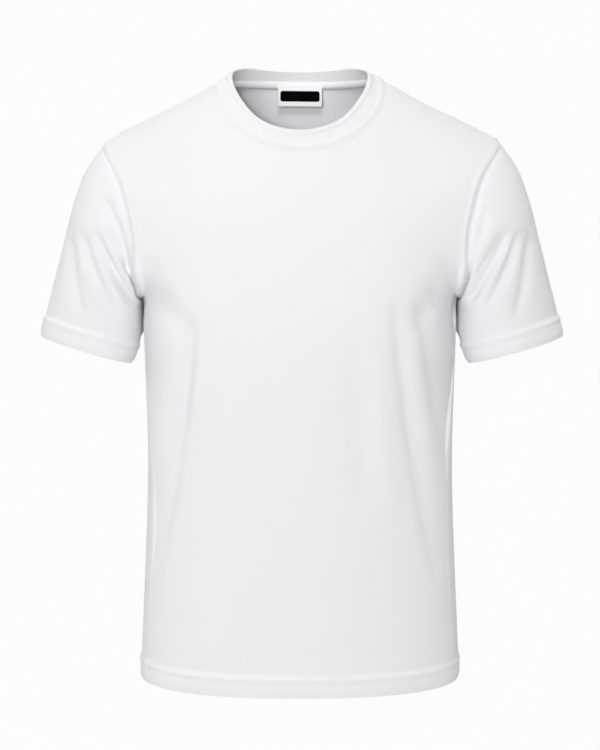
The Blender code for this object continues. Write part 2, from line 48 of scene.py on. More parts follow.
# The cut of the body: loops round it, from the hem up to the neck seam.
bodyCut = {
    "hemLevel": -709,
    "underarmLevel": -258,
    "shoulderLevel": -76,
    "neckLevel": 0,
    "loopNames": (
        "level", "halfWidth", "widestY", "frontY", "frontZ", "backY", "backZ", "sidePower", "depthPower",
    ),
    "loops": [
        (-709, 190.5, 0, -126, -714, 114, -714, 2.35, 2.35),
        (-630, 187, 0, -123, -633, 110, -633, 2.35, 2.35),
        (-535, 182.8, 0, -122, -537, 106, -536, 2.35, 2.35),
        (-450, 180.6, 0, -124, -451, 106, -450, 2.4, 2.4),
        (-380, 182, 0, -127.5, -381, 109, -380, 2.5, 2.5),
        (-320, 183.8, -2, -130.4, -323, 114.5, -321, 2.65, 2.65),
        (-285, 184.8, -4, -129.8, -290, 118.5, -286, 2.75, 2.75),
        (-258, 186, -8, -128.3, -267, 120.5, -260, 2.8, 2.8),
        (-250, 188.8, -8, -127.8, -262, 121, -252, 2.74, 2.62),
        (-240, 196.5, -8, -127.2, -256, 121.2, -243, 2.6, 2.34),
        (-225, 216, -8, -126, -247, 121.5, -229, 2.38, 2.04),
        (-200, 250, -8, -124.2, -233, 121, -205, 2.1, 1.76),
        (-167, 273, -8, -120.8, -214, 119, -173, 2, 1.62),
        (-130, 275, -8, -115.6, -190, 114.5, -138, 2, 1.62),
        (-105, 269, -8, -111, -172, 109, -114, 2, 1.68),
        (-88, 253, -8, -107.2, -159, 104.5, -97, 2, 1.84),
        (-76, 233.5, -9, -104.4, -150, 100, -85, 2, 1.98),
        (-60, 206, -10, -100.2, -137, 94, -68, 2, 2),
        (-40, 170, -13, -94.2, -121, 84.5, -46, 2, 2),
        (-20, 131.5, -17, -87.6, -104, 74, -25, 2, 2),
        (-8, 109.5, -20, -83.4, -93.5, 67, -12, 2, 2),
        (0, 95, -22, -80, -86, 62, -4, 2, 2),
    ],
    "rampSoftness": 0.3,  # how softly a loop tilts where it crosses the middle of the body
    # where the side seam and the shoulder seam lie, front to back: level, y
    "seams": [
        (-709, -52), (-560, -50), (-450, -46), (-350, -30), (-290, -14), (-258, -8),
        (-76, -8), (-64, -17), (-45, -24), (-20, -24), (0, -19),
    ],
    # front and back edge of the armhole, from the underarm up: level, front y, back y
    "armhole": [
        (-258, -8, -8), (-255.5, -28, 13), (-247, -47, 34), (-232, -64, 50),
        (-211, -77, 60), (-185, -82, 65), (-156, -81.5, 65), (-128, -77, 60),
        (-106, -71, 50), (-91, -63.5, 37), (-82, -52, 22), (-77.6, -34, 6), (-76, -8, -8),
    ],
    "armholeSteps": 5,  # rows between two lines of the armhole's table
    "yokeRows": 26,
    "rowPitch": 3.6,
    "angleSamples": 400,
    "lengthSamples": 600,
    # rows close together at the hem's edge and at its two lines of stitching
    "hemRows": (
        0, 0.5, 1.2, 2.2, 3.6, 5.4, 7.6, 10, 12.4, 14.4, 15.6, 16.4, 17.1, 17.8, 18.6, 19.6, 20.8,
        22, 23.2, 24.2, 25, 25.8, 26.8, 28.2, 30.2, 33,
    ),
    "neckRows": (-7, -6, -5.1, -4.3, -3.6, -2.9, -2.3, -1.7, -1.2, -0.8, -0.4, 0),
    "edgeColumns": (0, 0.6, 1.3, 2.1, 3, 4, 5.2, 6.6, 8.4, 10.8),
    "evening": 18,  # steps between loops shorter than this are evened out
    "heldEdge": (2.5, 40),  # distances from a seam where the evening begins and is whole
    # how the shoulders sit on the form: x, rise
    "shoulderSettle": [
        (-300, -0.5), (-240, -0.8), (-222, 0.6), (-205, 0.2), (-185, -1.9), (-164, -3.4), (-146, -3.7),
        (-111, -3.3), (-92, -2.6), (-70, 0), (90, 0), (120, -0.7), (160, -0.6), (190, 1.8),
        (212, 3.2), (228, 3.6), (242, 1.6), (260, 0), (300, 0),
    ],
    "settleReach": (-300, -120),  # heights between which that comes in
    "drawnIn": (4.4, -195, -250),  # how far the right sleeve is drawn in, and between which x
}


def softCurve(at, table, column=1):
    # soft curve through a column of a table, whose first column has the rising stations
    table = np.array(table, float)
    stations, values = table[:, 0], table[:, column]
    slopes = np.gradient(values, stations)
    at = np.clip(at, stations[0], stations[-1])
    i = np.clip(np.searchsorted(stations, at, side="right") - 1, 0, len(stations) - 2)
    step = stations[i + 1] - stations[i]
    t = (at - stations[i]) / step
    start = (1 + 2 * t) * (1 - t) ** 2 * values[i] + t * (1 - t) ** 2 * step * slopes[i]
    end = t**2 * (3 - 2 * t) * values[i + 1] + t**2 * (t - 1) * step * slopes[i + 1]
    return start + end


def ease(part):
    part = np.clip(part, 0, 1)
    return part * part * (3 - 2 * part)


def unit(vectors):
    return vectors / np.maximum(np.linalg.norm(vectors, axis=-1, keepdims=True), 1e-9)


def tableAt(at, table, names):
    return {name: softCurve(at, table, column) for column, name in enumerate(names)}


def loopAt(level):
    return tableAt(level, bodyCut["loops"], bodyCut["loopNames"])


def ramp(part):
    # 0 at the middle of the body and 1 at its front or back
    soft = bodyCut["rampSoftness"]
    return (np.sqrt(part**2 + soft**2) - soft) / (np.sqrt(1 + soft**2) - soft)


def runningLength(points, axis=0):
    # length along each column (axis 0) or each row (axis 1) from its first point
    steps = np.linalg.norm(np.diff(points, axis=axis), axis=-1)
    return np.insert(steps.cumsum(axis=axis), 0, 0, axis=axis)


def onOval(oval, angle, sidePower=2, depthPower=2):
    # x and y of an oval seen from above; angle 0 is centre front and runs over +X to pi at centre back
    side, fore = np.sin(angle), np.cos(angle)
    depth = np.where(fore > 0, oval["widestY"] - oval["frontY"], oval["backY"] - oval["widestY"])
    x = oval["halfWidth"] * np.sign(side) * np.abs(side) ** (2 / sidePower)
    y = oval["widestY"] - depth * np.sign(fore) * np.abs(fore) ** (2 / depthPower)
    return x, y


def onLoop(loop, angle):
    x, y = onOval(loop, angle, loop["sidePower"], loop["depthPower"])
    endY = np.where(y < 0, loop["frontY"], loop["backY"])
    endZ = np.where(y < 0, loop["frontZ"], loop["backZ"])
    return np.stack([x, y, loop["level"] + (endZ - loop["level"]) * ramp(y / endY)], axis=-1)


def angleAt(loop, y):
    angles = np.linspace(0, np.pi, bodyCut["angleSamples"])
    return np.interp(y, onLoop(loop, angles)[:, 1], angles)


def spacedAngles(loop, start, end, count):
    # close together at both seams, and equal lengths between
    angles = np.linspace(start, end, bodyCut["lengthSamples"])
    length = runningLength(onLoop(loop, angles))
    edge = np.array(bodyCut["edgeColumns"])
    inner = np.linspace(edge[-1], length[-1] - edge[-1], count)
    return np.interp(np.concatenate([edge[:-1], inner, length[-1] - edge[-2::-1]]), length, angles)


def bodyRows():
    # of every row from hem to neck: level, front and back edge, level of its middle; then the armhole's rows
    cut = bodyCut
    hem = cut["hemLevel"] + np.array(cut["hemRows"])
    count = round((cut["underarmLevel"] - hem[-1]) / cut["rowPitch"])
    below = np.concatenate([hem, np.linspace(hem[-1], cut["underarmLevel"], count + 1)[1:]])
    yoke = np.linspace(cut["shoulderLevel"], cut["neckRows"][0], cut["yokeRows"])[1:-1]
    above = np.concatenate([yoke, cut["neckRows"]])
    table = [(number, *line) for number, line in enumerate(cut["armhole"])]
    place = np.linspace(0, len(table) - 1, (len(table) - 1) * cut["armholeSteps"] + 1)[1:]
    armhole = [softCurve(place, table, column) for column in (1, 2, 3)]
    seamBelow, seamAbove = softCurve(below, cut["seams"]), softCurve(above, cut["seams"])
    levels = np.concatenate([below, armhole[0], above])
    front = np.concatenate([seamBelow, armhole[1], seamAbove])
    back = np.concatenate([seamBelow, armhole[2], seamAbove])
    rows = slice(len(below) - 1, len(below) + len(place))
    middle = levels.copy()
    middle[rows] = np.linspace(cut["underarmLevel"], cut["shoulderLevel"], len(place) + 1)
    return levels, front, back, middle, rows


def evened(grid):
    # draws each row softly towards its neighbours, but not at the seams, the neck and the hem
    step = np.linalg.norm(np.diff(grid, axis=0), axis=-1).mean(axis=1)
    below, above = step[:-1, None, None], step[1:, None, None]
    near, far = bodyCut["heldEdge"]
    freedom = np.clip((edgeDistance(grid) - near) / (far - near), 0, 1)[1:-1, :, None]
    freedom[: len(bodyCut["hemRows"])] = 0
    passes = round(2 * (bodyCut["evening"] / bodyCut["rowPitch"]) ** 2)
    for _ in range(passes):
        between = (grid[:-2] * above + grid[2:] * below) / (above + below)
        grid[1:-1] += (between - grid[1:-1]) * freedom / 2
    return grid


def settled(grid):
    # the right shoulder hangs a little lower than the left, and its sleeve lies a little closer
    low, high = bodyCut["settleReach"]
    drawn, start, full = bodyCut["drawnIn"]
    grid = grid.copy()
    share = ease((grid[..., 2] - low) / (high - low))
    grid[..., 2] += softCurve(grid[..., 0], bodyCut["shoulderSettle"]) * share
    grid[..., 0] += drawn * ease((grid[..., 0] - start) / (full - start))
    return grid


def edgeDistance(grid):
    # distance along its row from each point to the nearer side edge
    along = runningLength(grid, 1)
    return np.minimum(along, along[:, -1:] - along)


def rowDistance(grid, fromLast):
    # distance along its column from each point to the first or the last row
    along = runningLength(grid)
    return along[-1] - along if fromLast else along


def lineDistance(points, line):
    # distance from each point to a line, and which point of the line is nearest
    near = ((points[..., None, :] - line) ** 2).sum(axis=-1).argmin(axis=-1)
    along = unit(np.gradient(line, axis=0))[near]
    off = points - line[near]
    return np.linalg.norm(off - along * (off * along).sum(axis=-1, keepdims=True), axis=-1), near


def panelGrid(facing, count):
    grid = []
    for level, frontY, backY, middleLevel in zip(*bodyRows()[:4]):
        loop = loopAt(level)
        edge = angleAt(loop, frontY if facing < 0 else backY)
        start, end = (-edge, edge) if facing < 0 else (edge, 2 * np.pi - edge)
        angles = spacedAngles(loop, start, end, count)
        offCentre = np.abs(2 * (angles - start) / (end - start) - 1)
        grid.append(onLoop(loopAt(middleLevel + (level - middleLevel) * ease(offCentre)), angles))
    return evened(np.array(grid))


def gridNormals(grid, closed=False):
    if closed:
        ring = grid[:, :-1]
        across = np.roll(ring, -1, axis=1) - np.roll(ring, 1, axis=1)
        across = np.concatenate([across, across[:, :1]], axis=1)
    else:
        across = np.gradient(grid, axis=1)
    return unit(np.cross(across, np.gradient(grid, axis=0)))


def raised(grid, lift, closed=False):
    return grid + gridNormals(grid, closed) * lift[..., None]


# A crease has three points x, z of a soft curve seen from the front, top to bottom, its half widths towards
# -X and +X, its height out of the cloth, and the shares of its length over which it fades in and out.
def creaseLift(grid, creases, samples=60):
    lift = np.zeros(grid.shape[:-1])
    t = np.linspace(0, 1, samples)
    for *points, minusWidth, plusWidth, height, fadeIn, fadeOut in creases:
        x, z = ((1 - t) ** 2 * a + 2 * t * (1 - t) * b + t**2 * c for a, b, c in (points[::2], points[1::2]))
        alongX, alongZ = np.gradient(x, t), np.gradient(z, t)
        length = np.hypot(alongX, alongZ)
        offX, offZ = grid[..., 0, None] - x, grid[..., 2, None] - z
        near = (offX**2 + offZ**2).argmin(axis=-1)
        offX, offZ = (np.take_along_axis(off, near[..., None], axis=-1)[..., 0] for off in (offX, offZ))
        across = (alongX[near] * offZ - alongZ[near] * offX) / length[near]
        ahead = (alongX[near] * offX + alongZ[near] * offZ) / length[near] ** 2
        place = t[near] + ahead
        along = ease(place / fadeIn) * ease((1 - place) / fadeOut)
        lift += height * along * swell(across, np.where(across < 0, minusWidth, plusWidth))
    return lift


frontPanel = {
    "columns": 132,
    "creases": [
        (108, -250, 115, -392, 174, -640, 7.5, 14, -4.9, 0.15, 0.38),
        (124, -284, 136, -376, 164, -500, 9, 9, 1, 0.25, 0.5),
        (139, -246, 152, -350, 186, -490, 11, 28, -5.2, 0.2, 0.35),
        (-123, -268, -131, -405, -172, -596, 20, 8, -6.4, 0.12, 0.3),
        (-109, -280, -114, -350, -124, -430, 8, 12, 1.3, 0.3, 0.4),
        (-80, -325, -94, -430, -118, -520, 15, 15, 1.4, 0.25, 0.25),
        (-17, -375, -19, -430, -15, -480, 14, 14, -1.2, 0.25, 0.25),
        (60, -300, 66, -405, 82, -530, 16, 16, -3.2, 0.3, 0.3),
        (84, -300, 92, -400, 112, -510, 13, 11, 2.2, 0.2, 0.3),
        (-150, -420, -158, -462, -168, -520, 9, 9, 1.5, 0.4, 0.4),
        (184, -192, 188, -248, 180, -318, 30, 14, -5.6, 0.35, 0.35),
        (168, -238, 150, -268, 124, -300, 17, 12, -3.6, 0.25, 0.25),
        (148, -256, 158, -268, 170, -288, 5, 5, 1, 0.4, 0.4),
        (150, -206, 168, -208, 186, -220, 9, 9, -1.8, 0.5, 0.4),
        (-184, -198, -188, -240, -182, -288, 14, 28, -6, 0.35, 0.45),
        (-173, -246, -150, -281, -120, -290, 12, 15, -5.2, 0.25, 0.3),
        (-180, -216, -172, -222, -162, -224, 5, 5, -1.6, 0.25, 0.25),
    ],
}

backPanel = {
    "columns": 150,
    "creases": [
        (-112, -262, -122, -400, -160, -560, 11, 11, -4.2, 0.22, 0.26),
        (-98, -258, -106, -390, -138, -520, 12, 12, 3.4, 0.22, 0.26),
        (108, -258, 120, -410, 162, -580, 11, 11, -4.6, 0.22, 0.26),
        (95, -262, 103, -380, 130, -500, 12, 12, 3.2, 0.22, 0.26),
        (128, -268, 144, -380, 168, -480, 9, 9, 3, 0.22, 0.26),
        (-20, -330, -26, -430, -38, -540, 16, 16, -2, 0.22, 0.26),
        (36, -300, 42, -420, 60, -530, 15, 15, -2.2, 0.22, 0.26),
        (178, -226, 158, -252, 130, -266, 10, 10, -3.4, 0.22, 0.26),
        (-178, -226, -160, -250, -134, -268, 10, 10, -3.4, 0.22, 0.26),
    ],
}

sewing = {
    "creaseFade": 5,  # distance from a panel's side over which its creases come up
    "groove": (0.35, 0.8),  # depth and half width of the dip at the side and shoulder seams
    "hemLines": (17.5, 25),  # distances of the two lines of stitching from the edge of the hem or cuff
    "hemRidge": (0.8, 2.8),  # height and half width of the ridge between them
    "hemDip": (0.2, 1.8),  # depth and half width of the dip at the lower line
    # height of the doubled cloth, where it starts above the upper line, and the length of its rise
    "hemFullness": (1.1, 2.4, 5),
    # bands of the doubled cloth painted lighter, a painted highlight where its raised edge catches the light:
    # distance from the edge, half width, strength
    "hemPaintedHighlight": ((24.4, 2.7, 1), (12, 3.6, 0.4)),
    "edgeRoll": (2, 3.4),  # how far the folded edge draws in, and over what distance
    "hemPast": 1,  # how far the doubled cloth reaches past the upper line
    "doubledWall": 2.3,  # single cloth has half of this
    "neckRidge": (0.8, 4, 3),  # height, width and soft end of the seam allowance beside the neckband
    "neckCrest": (1.4, 2.6, 3.2),  # height of the crest at the seam, half widths on the panel and the band
    "armholeRidge": (1.5, 3, 2.2, 3),  # height, distance from the seam, half widths towards it and away
    "armholeDip": (2, 3.2, 2.4, 5),  # depth beside the seam on the sleeve, and the same
    "armholeTuck": (11, 2.4, 1.5, 2.3),  # the same near the underarm, where it is a narrow tuck
    "armholeTucked": (-206, -242),  # heights between which the dip becomes the tuck
    "armholeReach": 18,  # columns of a panel and rings of a sleeve that the armhole's seam shapes
    "armholePast": 4,  # rows of a panel past both ends of the armhole that it shapes too
    # rows over which the armhole's ridge comes up and fades at the shoulder, and the share left there
    "ridgeEnds": (8, 3, 0.3),
    "seamEdge": 1.4,  # distance from the seam over which the cloth beside it comes up
    "stitch": (2.4, 0.4, 0.14),  # length, width and height of one stitch
    "stitchPitch": 3.1,
    "stitchAhead": 0.4,  # how far ahead on its line a stitch points
    "stitchFaces": (6, 4),  # faces round it and along it
}
hemDepth = sewing["hemLines"][1] + sewing["hemPast"]


def swell(offset, half):
    # soft hump, 1 at its middle
    return np.exp(-((offset / half) ** 2))


def hemLift(distance):
    lower, upper = sewing["hemLines"]
    height, half = sewing["hemRidge"]
    dipDepth, dipHalf = sewing["hemDip"]
    full, start, rise = sewing["hemFullness"]
    drawn, rollWidth = sewing["edgeRoll"]
    ridge = height * swell(distance - (lower + upper) / 2, half)
    dip = dipDepth * swell(distance - lower, dipHalf)
    fullness = full * ease((upper + start - distance) / rise)
    return ridge - dip + fullness - drawn * swell(distance, rollWidth)


def besideSeam(distance, profile):
    height, middle, near, far = profile
    hump = swell(distance - middle, np.where(distance < middle, near, far))
    return height * hump * ease(distance / sewing["seamEdge"])


def panelLift(grid, creases):
    side, fromHem, fromNeck = edgeDistance(grid), rowDistance(grid, False), rowDistance(grid, True)
    lift = creaseLift(grid, creases) * ease(side / sewing["creaseFade"]) + hemLift(fromHem)
    armhole = bodyRows()[-1]
    depth, half = sewing["groove"]
    groove = depth * swell(side, half)
    groove[armhole] = 0
    height, width, soft = sewing["neckRidge"]
    crest, panelHalf, _ = sewing["neckCrest"]
    lift += height * ease((width + soft - fromNeck) / soft) + crest * swell(fromNeck, panelHalf) - groove
    reach, past = sewing["armholeReach"], sewing["armholePast"]
    rise, fade, left = sewing["ridgeEnds"]
    rows = slice(armhole.start - past, armhole.stop + past)
    for edgeColumn, columns in ((0, slice(0, reach)), (-1, slice(-reach, None))):
        edge = grid[armhole, edgeColumn]
        distance, near = lineDistance(grid[rows, columns], edge)
        held = ease(near / rise) * ease((len(edge) - 1 - near) / fade + left)
        lift[rows, columns] += besideSeam(distance, sewing["armholeRidge"]) * held
    return lift


def vertexSpots(mesh):
    spots = np.empty(len(mesh.vertices) * 3)
    mesh.vertices.foreach_get("co", spots)
    return spots.reshape(-1, 3)


# A sheet is a flat grid whose points are then laid along the cloth.
def layingOrder(mesh, rows, columns):
    flat = vertexSpots(mesh)
    row = np.rint((flat[:, 1] + 1) / 2 * (rows - 1)).astype(int)
    column = np.rint((flat[:, 0] + 1) / 2 * (columns - 1)).astype(int)
    return row, column


def clothUv(grid):
    # across and along the cloth in metres, counted from its middle column and its first row
    across = runningLength(grid, 1)
    across -= across[:, across.shape[1] // 2, None]
    return np.stack([across, rowDistance(grid, False)], axis=-1) * mm


def meshFrom(bm, name):
    mesh = bpy.data.meshes.new(name)
    bm.to_mesh(mesh)
    bm.free()
    return mesh


def newObject(name, data):
    made = bpy.data.objects.new(name, data)
    scene.collection.objects.link(made)
    return made


def makeSheet(name, grid, uv, wall, closed=False, fromEdge=None):
    # fromEdge is each point's distance from the hemmed edge of the piece, if it has one
    rows, columns = grid.shape[:2]
    bm = bmesh.new()
    bmesh.ops.create_grid(bm, x_segments=columns - 1, y_segments=rows - 1, size=1)
    mesh = meshFrom(bm, name)
    row, column = layingOrder(mesh, rows, columns)
    mesh.vertices.foreach_set("co", (grid[row, column] * mm).ravel())
    corners = np.empty(len(mesh.loops), int)
    mesh.loops.foreach_get("vertex_index", corners)
    layer = mesh.uv_layers.new(name="cloth")
    layer.data.foreach_set("uv", uv[row, column][corners].ravel())
    piece = newObject(name, mesh)
    if fromEdge is not None:
        laid = fromEdge[row, column]
        group = piece.vertex_groups.new(name="doubled")
        for weight, covered in ((1, laid < hemDepth), (0.5, laid >= hemDepth)):
            group.add(np.flatnonzero(covered).tolist(), weight, "REPLACE")
        # painted highlight: the doubled cloth's raised bands get a lighter colour, where light catches them
        paintedHighlight = sum(strength * swell(laid - middle, half) for middle, half, strength in sewing["hemPaintedHighlight"])
        values = mesh.attributes.new("hemPaintedHighlight", "FLOAT", "POINT").data
        values.foreach_set("value", paintedHighlight.astype(np.float32))
    if closed:
        bm = bmesh.new()
        bm.from_mesh(mesh)
        bm.verts.ensure_lookup_table()
        seam = np.flatnonzero((column == 0) | (column == columns - 1)).tolist()
        bmesh.ops.remove_doubles(bm, verts=[bm.verts[i] for i in seam], dist=joinDistance)
        bm.to_mesh(mesh)
        bm.free()
    mesh.shade_smooth()
    if wall:
        thick = piece.modifiers.new("wall", "SOLIDIFY")
        thick.thickness = wall * mm
        thick.offset = -1
        if fromEdge is not None:
            thick.vertex_group = "doubled"
    return piece


print("laying out the body")
frontGrid = settled(panelGrid(-1, frontPanel["columns"]))
backGrid = settled(panelGrid(1, backPanel["columns"]))


# Sleeves: rings from armhole to cuff, by their outermost and innermost point seen from the front.
sleeveCut = {
    "ringNames": ("along", "outerX", "outerZ", "innerX", "innerZ", "y", "halfDepth"),
    "rings": [
        (0, 233.5, -76, 185.5, -258, -8, 74),
        (0.12, 252, -99, 187, -265, -8, 76),
        (0.32, 268.5, -138, 187.6, -275, -8, 75),
        (0.55, 281, -185, 187.8, -288, -8, 71),
        (0.78, 295, -240, 188.8, -303, -7, 66),
        (0.91, 306.2, -282, 191.8, -316, -6, 62.5),
        (1, 312, -303, 199, -336, -6, 61),
    ],
    # how the underside lies against the body, behind the sleeve's inner line
    "hug": {
        "behind": (0.55, 0.95),  # shares of its depth up to which it lies close, and from which it is free
        "narrows": (0.85, 0.75),  # share of its clearance that it loses, and by which depth
        "along": (0.1, 0.74, 0.89),  # where along the sleeve it is whole, begins to fade, and ends
    },
    "length": 244,
    "armholeRows": (0, 0.5, 1.1, 1.8, 2.6, 3.5, 4.6, 5.9, 7.4, 9.2, 11.2, 13.4),
    "cuffRows": (36,) + bodyCut["hemRows"][::-1],
    "middleRows": 54,  # rows between those at the armhole and those at the cuff
    "cuffDepth": 22,
    "armholeBlend": 3,  # how fast the armhole's own line gives way along the sleeve
    "armholeY": -8,
    "armholeHalfDepth": 74,
    "frontToBack": 2,  # how fast the creases of the front give way to those of the back
    "creaseStart": 7,  # distance from the armhole over which the creases come up
    "creaseEnd": (28, 30),  # distance from the cuff where they end, and over which they fade
    "dipStart": (-265, 14),  # height where the dip beside the armhole begins, and over which
    "dipEnd": (-84, 8, 0.5),  # height where it ends, over which, and the share left there
    "rightCreases": [
        (-227, -139, -203, -171, -194, -240, 6.6, 4.4, -8, 0.2, 0.1),
        (-224, -176, -205, -210, -190, -236, 4.6, 4, -4, 0.25, 0.2),
        (-239, -175, -222, -215, -188, -266, 7.4, 5, -7.6, 0.18, 0.12),
        (-253, -176, -243, -222, -210, -286, 6.8, 5.8, -6, 0.2, 0.22),
        (-269, -174, -265, -230, -248, -296, 7, 6.4, -4.4, 0.25, 0.25),
        (-246, -178, -230, -222, -200, -268, 5, 5, 1, 0.3, 0.3),
    ],
    "leftCreases": [
        (217, -150, 210, -176, 200, -206, 5, 5.5, -2.6, 0.3, 0.3),
        (238, -174, 221, -202, 199, -238, 4.6, 4.6, -4.2, 0.3, 0.2),
        (243, -176, 223, -216, 192, -266, 5, 5.2, -6.8, 0.2, 0.15),
        (256, -174, 241, -224, 208, -286, 5.8, 6, -5.2, 0.2, 0.25),
        (266, -174, 267, -228, 243, -300, 6.4, 6.8, -4.6, 0.25, 0.25),
        (247, -180, 231, -222, 202, -268, 5, 5, 1, 0.3, 0.3),
    ],
    "backCreases": [
        (262, -170, 250, -216, 222, -282, 8, 8, -2.6, 0.22, 0.26),
        (240, -172, 222, -210, 196, -258, 8, 8, -3, 0.22, 0.26),
        (251, -172, 236, -214, 208, -268, 7, 7, 2, 0.22, 0.26),
    ],
}


def bodySide(y, z):
    # how far the side of the body reaches out at a place behind its widest line
    loop = loopAt(z)
    shortOfBack = 0.999
    part = np.clip((y - loop["widestY"]) / (loop["backY"] - loop["widestY"]), 0, shortOfBack)
    return loop["halfWidth"] * (1 - part ** loop["depthPower"]) ** (1 / loop["sidePower"])


def sleeveGrid(side):
    rows = bodyRows()[-1]
    frontEdge = frontGrid[rows, -1 if side > 0 else 0]
    backEdge = backGrid[rows, 0 if side > 0 else -1]
    armhole = np.concatenate([frontEdge[::-1], backEdge[1:]])
    cut = sleeveCut
    cuffStart = 1 - cut["rings"][-2][0]
    fromCuff = 1 - np.array(cut["cuffRows"]) / cut["cuffDepth"] * cuffStart
    fromArmhole = np.array(cut["armholeRows"]) / cut["length"]
    between = np.linspace(fromArmhole[-1], fromCuff[0], cut["middleRows"])[1:-1]
    stations = np.concatenate([fromArmhole, between, fromCuff])
    angles = np.linspace(0, 2 * np.pi, len(armhole))
    close, free = cut["hug"]["behind"]
    lost, lostBy = cut["hug"]["narrows"]
    whole, fade, end = cut["hug"]["along"]
    rings = []
    for along in stations:
        ring = tableAt(along, cut["rings"], cut["ringNames"])
        outer = np.array([ring["outerX"], ring["y"], ring["outerZ"]])
        inner = np.array([ring["innerX"], ring["y"], ring["innerZ"]])
        half, forward = (outer - inner) / 2, np.array([0, -ring["halfDepth"], 0])
        points = (outer + inner) / 2 + np.outer(np.cos(angles), half) + np.outer(np.sin(angles), forward)
        behind = np.where(np.cos(angles) < 0, np.maximum(-np.sin(angles), 0), 1)
        clear = (ring["innerX"] - bodySide(ring["y"], ring["innerZ"])) * (1 - lost * ease(behind / lostBy))
        hug = ease((free - behind) / (free - close)) * (behind > 0) * (np.sin(angles) < 0)
        hug *= ease(along / whole) * ease((end - along) / (end - fade))
        points[:, 0] += (bodySide(points[:, 1], points[:, 2]) + clear - points[:, 0]) * hug
        rings.append(points * [side, 1, 1])
    rings = settled(np.array(rings))
    rings += (armhole - rings[0]) * ((1 - stations) ** cut["armholeBlend"])[:, None, None]
    return rings if side > 0 else rings[:, ::-1]


def sleeveLift(grid, side):
    cut = sleeveCut
    fromArmhole, fromCuff = rowDistance(grid, False), rowDistance(grid, True)
    facing = -(grid[..., 1] - cut["armholeY"]) / cut["armholeHalfDepth"] * cut["frontToBack"]
    facing = np.clip(facing, -1, 1)
    front = creaseLift(grid, cut["leftCreases" if side > 0 else "rightCreases"])
    back = creaseLift(grid * [side, 1, 1], cut["backCreases"])
    lift = np.maximum(facing, 0) * front + np.maximum(-facing, 0) * back
    end, fade = cut["creaseEnd"]
    lift *= ease(fromArmhole / cut["creaseStart"]) * ease((fromCuff - end) / fade)
    reach = sewing["armholeReach"]
    distance, _ = lineDistance(grid[:reach], grid[0])
    height = grid[:reach, :, 2]
    low, rise = cut["dipStart"]
    high, fall, left = cut["dipEnd"]
    held = ease((height - low) / rise) * ease((high - height) / fall + left)
    start, full = sewing["armholeTucked"]
    tucked = ease((height - start) / (full - start))
    profile = [dip + (tuck - dip) * tucked for dip, tuck in zip(sewing["armholeDip"], sewing["armholeTuck"])]
    lift[:reach] -= besideSeam(distance, profile) * held
    return lift + hemLift(fromCuff)


print("laying out the sleeves")
leftGrid, rightGrid = sleeveGrid(1), sleeveGrid(-1)


# Neckband: rib folded double, its seam below and its fold above.
neckband = {
    "edge": {"halfWidth": 80.8, "widestY": -20, "frontY": -73.5, "backY": 53},
    # height of the fold from front to back: y, z
    "edgeHeights": [
        (-73.5, -64.5), (-63.7, -51.8), (-48.3, -28.5), (-20, 1), (0, 9), (12.8, 11.6), (22, 12.9),
        (29, 13.3), (38.6, 12.8), (45.3, 12.1), (49.7, 11.5), (53, 11.2),
    ],
    "wall": 2.2,
    "rows": (
        0, 0.03, 0.07, 0.12, 0.18, 0.25, 0.33, 0.42, 0.5,
        0.58, 0.65, 0.71, 0.77, 0.82, 0.87, 0.91, 0.95, 0.98, 1,
    ),
    "foldSteps": 8,
    "fullness": 0.3,
    "foldRoll": (1.7, 2.8, 2.6),  # height, distance from the fold and half width of its rolled edge
    "rollEnd": (8, 30),  # y where the roll ends, and over which it fades
}


def bandGrid():
    seam = np.concatenate([frontGrid[-1], backGrid[-1, 1:]])
    loop = loopAt(bodyCut["neckLevel"])
    shoulder = angleAt(loop, bodyCut["seams"][-1][1])
    frontAngles = spacedAngles(loop, -shoulder, shoulder, frontPanel["columns"])
    backAngles = spacedAngles(loop, shoulder, 2 * np.pi - shoulder, backPanel["columns"])
    x, y = onOval(neckband["edge"], np.concatenate([frontAngles, backAngles[1:]]))
    edge = np.stack([x, y, softCurve(y, neckband["edgeHeights"])], axis=-1)
    part = np.array(neckband["rows"])[:, None, None]
    return seam + (edge - seam) * part


def foldedBand(grid):
    # outer face up to the fold, round it, and down the inner face
    normal = gridNormals(grid, closed=True)
    fromSeam, fromFold = rowDistance(grid, False), rowDistance(grid, True)
    part = fromSeam / fromSeam[-1]
    height, _, _ = sewing["neckRidge"]
    crest, _, bandHalf = sewing["neckCrest"]
    rollHeight, rollPlace, rollHalf = neckband["foldRoll"]
    rollEnd, rollFade = neckband["rollEnd"]
    roll = rollHeight * swell(fromFold - rollPlace, rollHalf) * ease((rollEnd - grid[-1, :, 1]) / rollFade)
    full = neckband["fullness"] * np.sin(np.pi * part) + (height + crest) * swell(fromSeam, bandHalf)
    outer = grid + normal * (full + roll)[..., None]
    radius = (neckband["wall"] + roll[-1][:, None]) / 2
    up = unit(grid[-1] - grid[-2])
    turns = np.linspace(0, np.pi, neckband["foldSteps"] + 2)[1:-1, None, None]
    fold = outer[-1] - normal[-1] * radius * (1 - np.cos(turns)) + up * radius * np.sin(turns)
    innerRoll = (roll - roll[-1]) / 2
    inner = (grid - normal * (neckband["wall"] + innerRoll[..., None]))[::-1]
    return np.concatenate([outer, fold, inner])


print("laying out the neckband")
bandFlat = bandGrid()
bandFolded = foldedBand(bandFlat)

print("folding and sewing up the cloth")
frontCloth = raised(frontGrid, panelLift(frontGrid, frontPanel["creases"]))
backCloth = raised(backGrid, panelLift(backGrid, backPanel["creases"]))
leftCloth = raised(leftGrid, sleeveLift(leftGrid, 1), True)
rightCloth = raised(rightGrid, sleeveLift(rightGrid, -1), True)


def makeJersey(name, cloth, laid, isSleeve):
    # a panel is hemmed at its first row, and a sleeve at its last
    return makeSheet(name, cloth, clothUv(laid), sewing["doubledWall"], isSleeve, rowDistance(laid, isSleeve))


